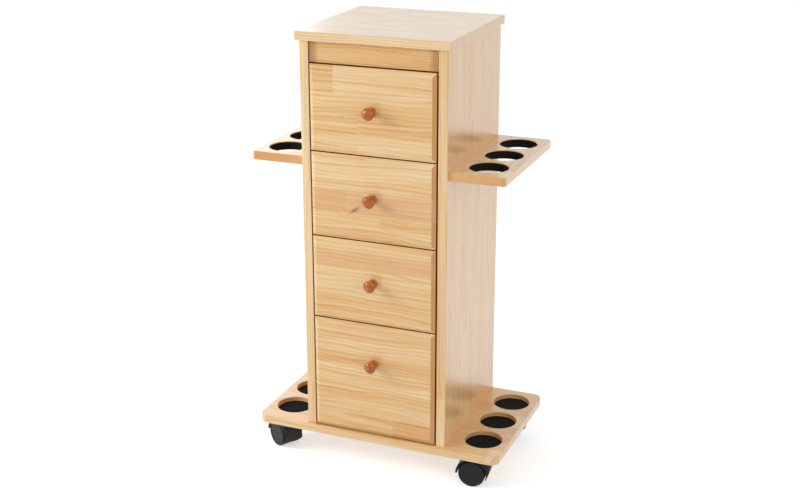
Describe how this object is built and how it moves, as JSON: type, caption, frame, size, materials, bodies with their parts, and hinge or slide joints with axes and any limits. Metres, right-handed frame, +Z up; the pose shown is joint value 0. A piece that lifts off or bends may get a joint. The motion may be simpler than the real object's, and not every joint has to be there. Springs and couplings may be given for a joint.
{
  "type": "fly tying cabinet",
  "caption": "Wheeled pine drawer cabinet for fly tying: a tall column of drawers with a lined rod shelf on each side above pockets in a wide base.",
  "frame": {"origin": "on the floor, midway across the base board and midway between the knobs and the back", "axes": "+Z up; the drawers open towards -Y; +X is to the right of someone who faces the drawers"},
  "size_m": [0.4484, 0.284, 0.761],
  "materials": {
    "pine": "edge-glued finger-jointed pine, clear satin lacquer",
    "drawer_pine": "edge-glued pine, clear satin lacquer outside",
    "plywood": "thin birch plywood, unfinished",
    "runner_wood": "planed hardwood, waxed",
    "knob_wood": "turned hardwood, clear gloss lacquer",
    "black_foam": "closed-cell foam, matt",
    "zinc_steel": "zinc-plated",
    "caster_plastic": "moulded nylon, fine satin texture",
    "wheel_plastic": "moulded nylon, satin"
  },
  "bodies": {
    "cabinet": {"top_board": "pine", "side_panel_left": "pine", "side_panel_right": "pine", "header_rail": "pine", "back_panel": "plywood", "base_board": "pine", "rod_shelf_left": "pine", "rod_shelf_right": "pine", "rod_hole_liners": "black_foam", "rod_pocket_pads": "black_foam", "drawer_runners": "runner_wood", "case_dowels": "runner_wood", "base_screws": "zinc_steel", "shelf_screws": "zinc_steel", "runner_screws": "zinc_steel", "back_panel_nails": "zinc_steel", "caster_plates": "zinc_steel", "caster_kingpins": "zinc_steel", "caster_screws": "zinc_steel"},
    "drawer_1": {"drawer_1_front": "drawer_pine", "drawer_1_sides": "drawer_pine", "drawer_1_back": "drawer_pine", "drawer_1_bottom": "plywood", "drawer_1_knob": "knob_wood", "drawer_1_knob_screw": "zinc_steel"},
    "drawer_2": {"drawer_2_front": "drawer_pine", "drawer_2_sides": "drawer_pine", "drawer_2_back": "drawer_pine", "drawer_2_bottom": "plywood", "drawer_2_knob": "knob_wood", "drawer_2_knob_screw": "zinc_steel"},
    "drawer_3": {"drawer_3_front": "drawer_pine", "drawer_3_sides": "drawer_pine", "drawer_3_back": "drawer_pine", "drawer_3_bottom": "plywood", "drawer_3_knob": "knob_wood", "drawer_3_knob_screw": "zinc_steel"},
    "drawer_4": {"drawer_4_front": "drawer_pine", "drawer_4_sides": "drawer_pine", "drawer_4_back": "drawer_pine", "drawer_4_bottom": "plywood", "drawer_4_knob": "knob_wood", "drawer_4_knob_screw": "zinc_steel"},
    "caster_front_left": {"caster_front_left_hood": "caster_plastic", "caster_front_left_axle": "zinc_steel"},
    "caster_front_left_wheel_1": {"caster_front_left_wheel_1": "wheel_plastic"},
    "caster_front_left_wheel_2": {"caster_front_left_wheel_2": "wheel_plastic"},
    "caster_front_right": {"caster_front_right_hood": "caster_plastic", "caster_front_right_axle": "zinc_steel"},
    "caster_front_right_wheel_1": {"caster_front_right_wheel_1": "wheel_plastic"},
    "caster_front_right_wheel_2": {"caster_front_right_wheel_2": "wheel_plastic"},
    "caster_rear_left": {"caster_rear_left_hood": "caster_plastic", "caster_rear_left_axle": "zinc_steel"},
    "caster_rear_left_wheel_1": {"caster_rear_left_wheel_1": "wheel_plastic"},
    "caster_rear_left_wheel_2": {"caster_rear_left_wheel_2": "wheel_plastic"},
    "caster_rear_right": {"caster_rear_right_hood": "caster_plastic", "caster_rear_right_axle": "zinc_steel"},
    "caster_rear_right_wheel_1": {"caster_rear_right_wheel_1": "wheel_plastic"},
    "caster_rear_right_wheel_2": {"caster_rear_right_wheel_2": "wheel_plastic"}
  },
  "joints": [
    {"name": "drawer_1_slide", "type": "slide", "parent": "cabinet", "child": "drawer_1", "axis": [0, -1, 0], "range_m": [0, 0.16]},
    {"name": "drawer_2_slide", "type": "slide", "parent": "cabinet", "child": "drawer_2", "axis": [0, -1, 0], "range_m": [0, 0.16]},
    {"name": "drawer_3_slide", "type": "slide", "parent": "cabinet", "child": "drawer_3", "axis": [0, -1, 0], "range_m": [0, 0.16]},
    {"name": "drawer_4_slide", "type": "slide", "parent": "cabinet", "child": "drawer_4", "axis": [0, -1, 0], "range_m": [0, 0.16]},
    {"name": "caster_front_left_swivel", "type": "hinge", "parent": "cabinet", "child": "caster_front_left", "pos_m": [-0.1815, -0.082, 0.057], "axis": [0, 0, 1], "continuous": true},
    {"name": "caster_front_left_wheel_1_spin", "type": "hinge", "parent": "caster_front_left", "child": "caster_front_left_wheel_1", "pos_m": [-0.19264, -0.0753, 0.023], "axis": [-0.515, -0.8572, 0], "continuous": true},
    {"name": "caster_front_left_wheel_2_spin", "type": "hinge", "parent": "caster_front_left", "child": "caster_front_left_wheel_2", "pos_m": [-0.19264, -0.0753, 0.023], "axis": [-0.515, -0.8572, 0], "continuous": true},
    {"name": "caster_front_right_swivel", "type": "hinge", "parent": "cabinet", "child": "caster_front_right", "pos_m": [0.1815, -0.082, 0.057], "axis": [0, 0, 1], "continuous": true},
    {"name": "caster_front_right_wheel_1_spin", "type": "hinge", "parent": "caster_front_right", "child": "caster_front_right_wheel_1", "pos_m": [0.16857, -0.08336, 0.023], "axis": [0.1045, -0.9945, 0], "continuous": true},
    {"name": "caster_front_right_wheel_2_spin", "type": "hinge", "parent": "caster_front_right", "child": "caster_front_right_wheel_2", "pos_m": [0.16857, -0.08336, 0.023], "axis": [0.1045, -0.9945, 0], "continuous": true},
    {"name": "caster_rear_left_swivel", "type": "hinge", "parent": "cabinet", "child": "caster_rear_left", "pos_m": [-0.1815, 0.102, 0.057], "axis": [0, 0, 1], "continuous": true},
    {"name": "caster_rear_left_wheel_1_spin", "type": "hinge", "parent": "caster_rear_left", "child": "caster_rear_left_wheel_1", "pos_m": [-0.16857, 0.10336, 0.023], "axis": [-0.1045, 0.9945, 0], "continuous": true},
    {"name": "caster_rear_left_wheel_2_spin", "type": "hinge", "parent": "caster_rear_left", "child": "caster_rear_left_wheel_2", "pos_m": [-0.16857, 0.10336, 0.023], "axis": [-0.1045, 0.9945, 0], "continuous": true},
    {"name": "caster_rear_right_swivel", "type": "hinge", "parent": "cabinet", "child": "caster_rear_right", "pos_m": [0.1815, 0.102, 0.057], "axis": [0, 0, 1], "continuous": true},
    {"name": "caster_rear_right_wheel_1_spin", "type": "hinge", "parent": "caster_rear_right", "child": "caster_rear_right_wheel_1", "pos_m": [0.16928, 0.10645, 0.023], "axis": [-0.342, -0.9397, 0], "continuous": true},
    {"name": "caster_rear_right_wheel_2_spin", "type": "hinge", "parent": "caster_rear_right", "child": "caster_rear_right_wheel_2", "pos_m": [0.16928, 0.10645, 0.023], "axis": [-0.342, -0.9397, 0], "continuous": true}
  ]
}
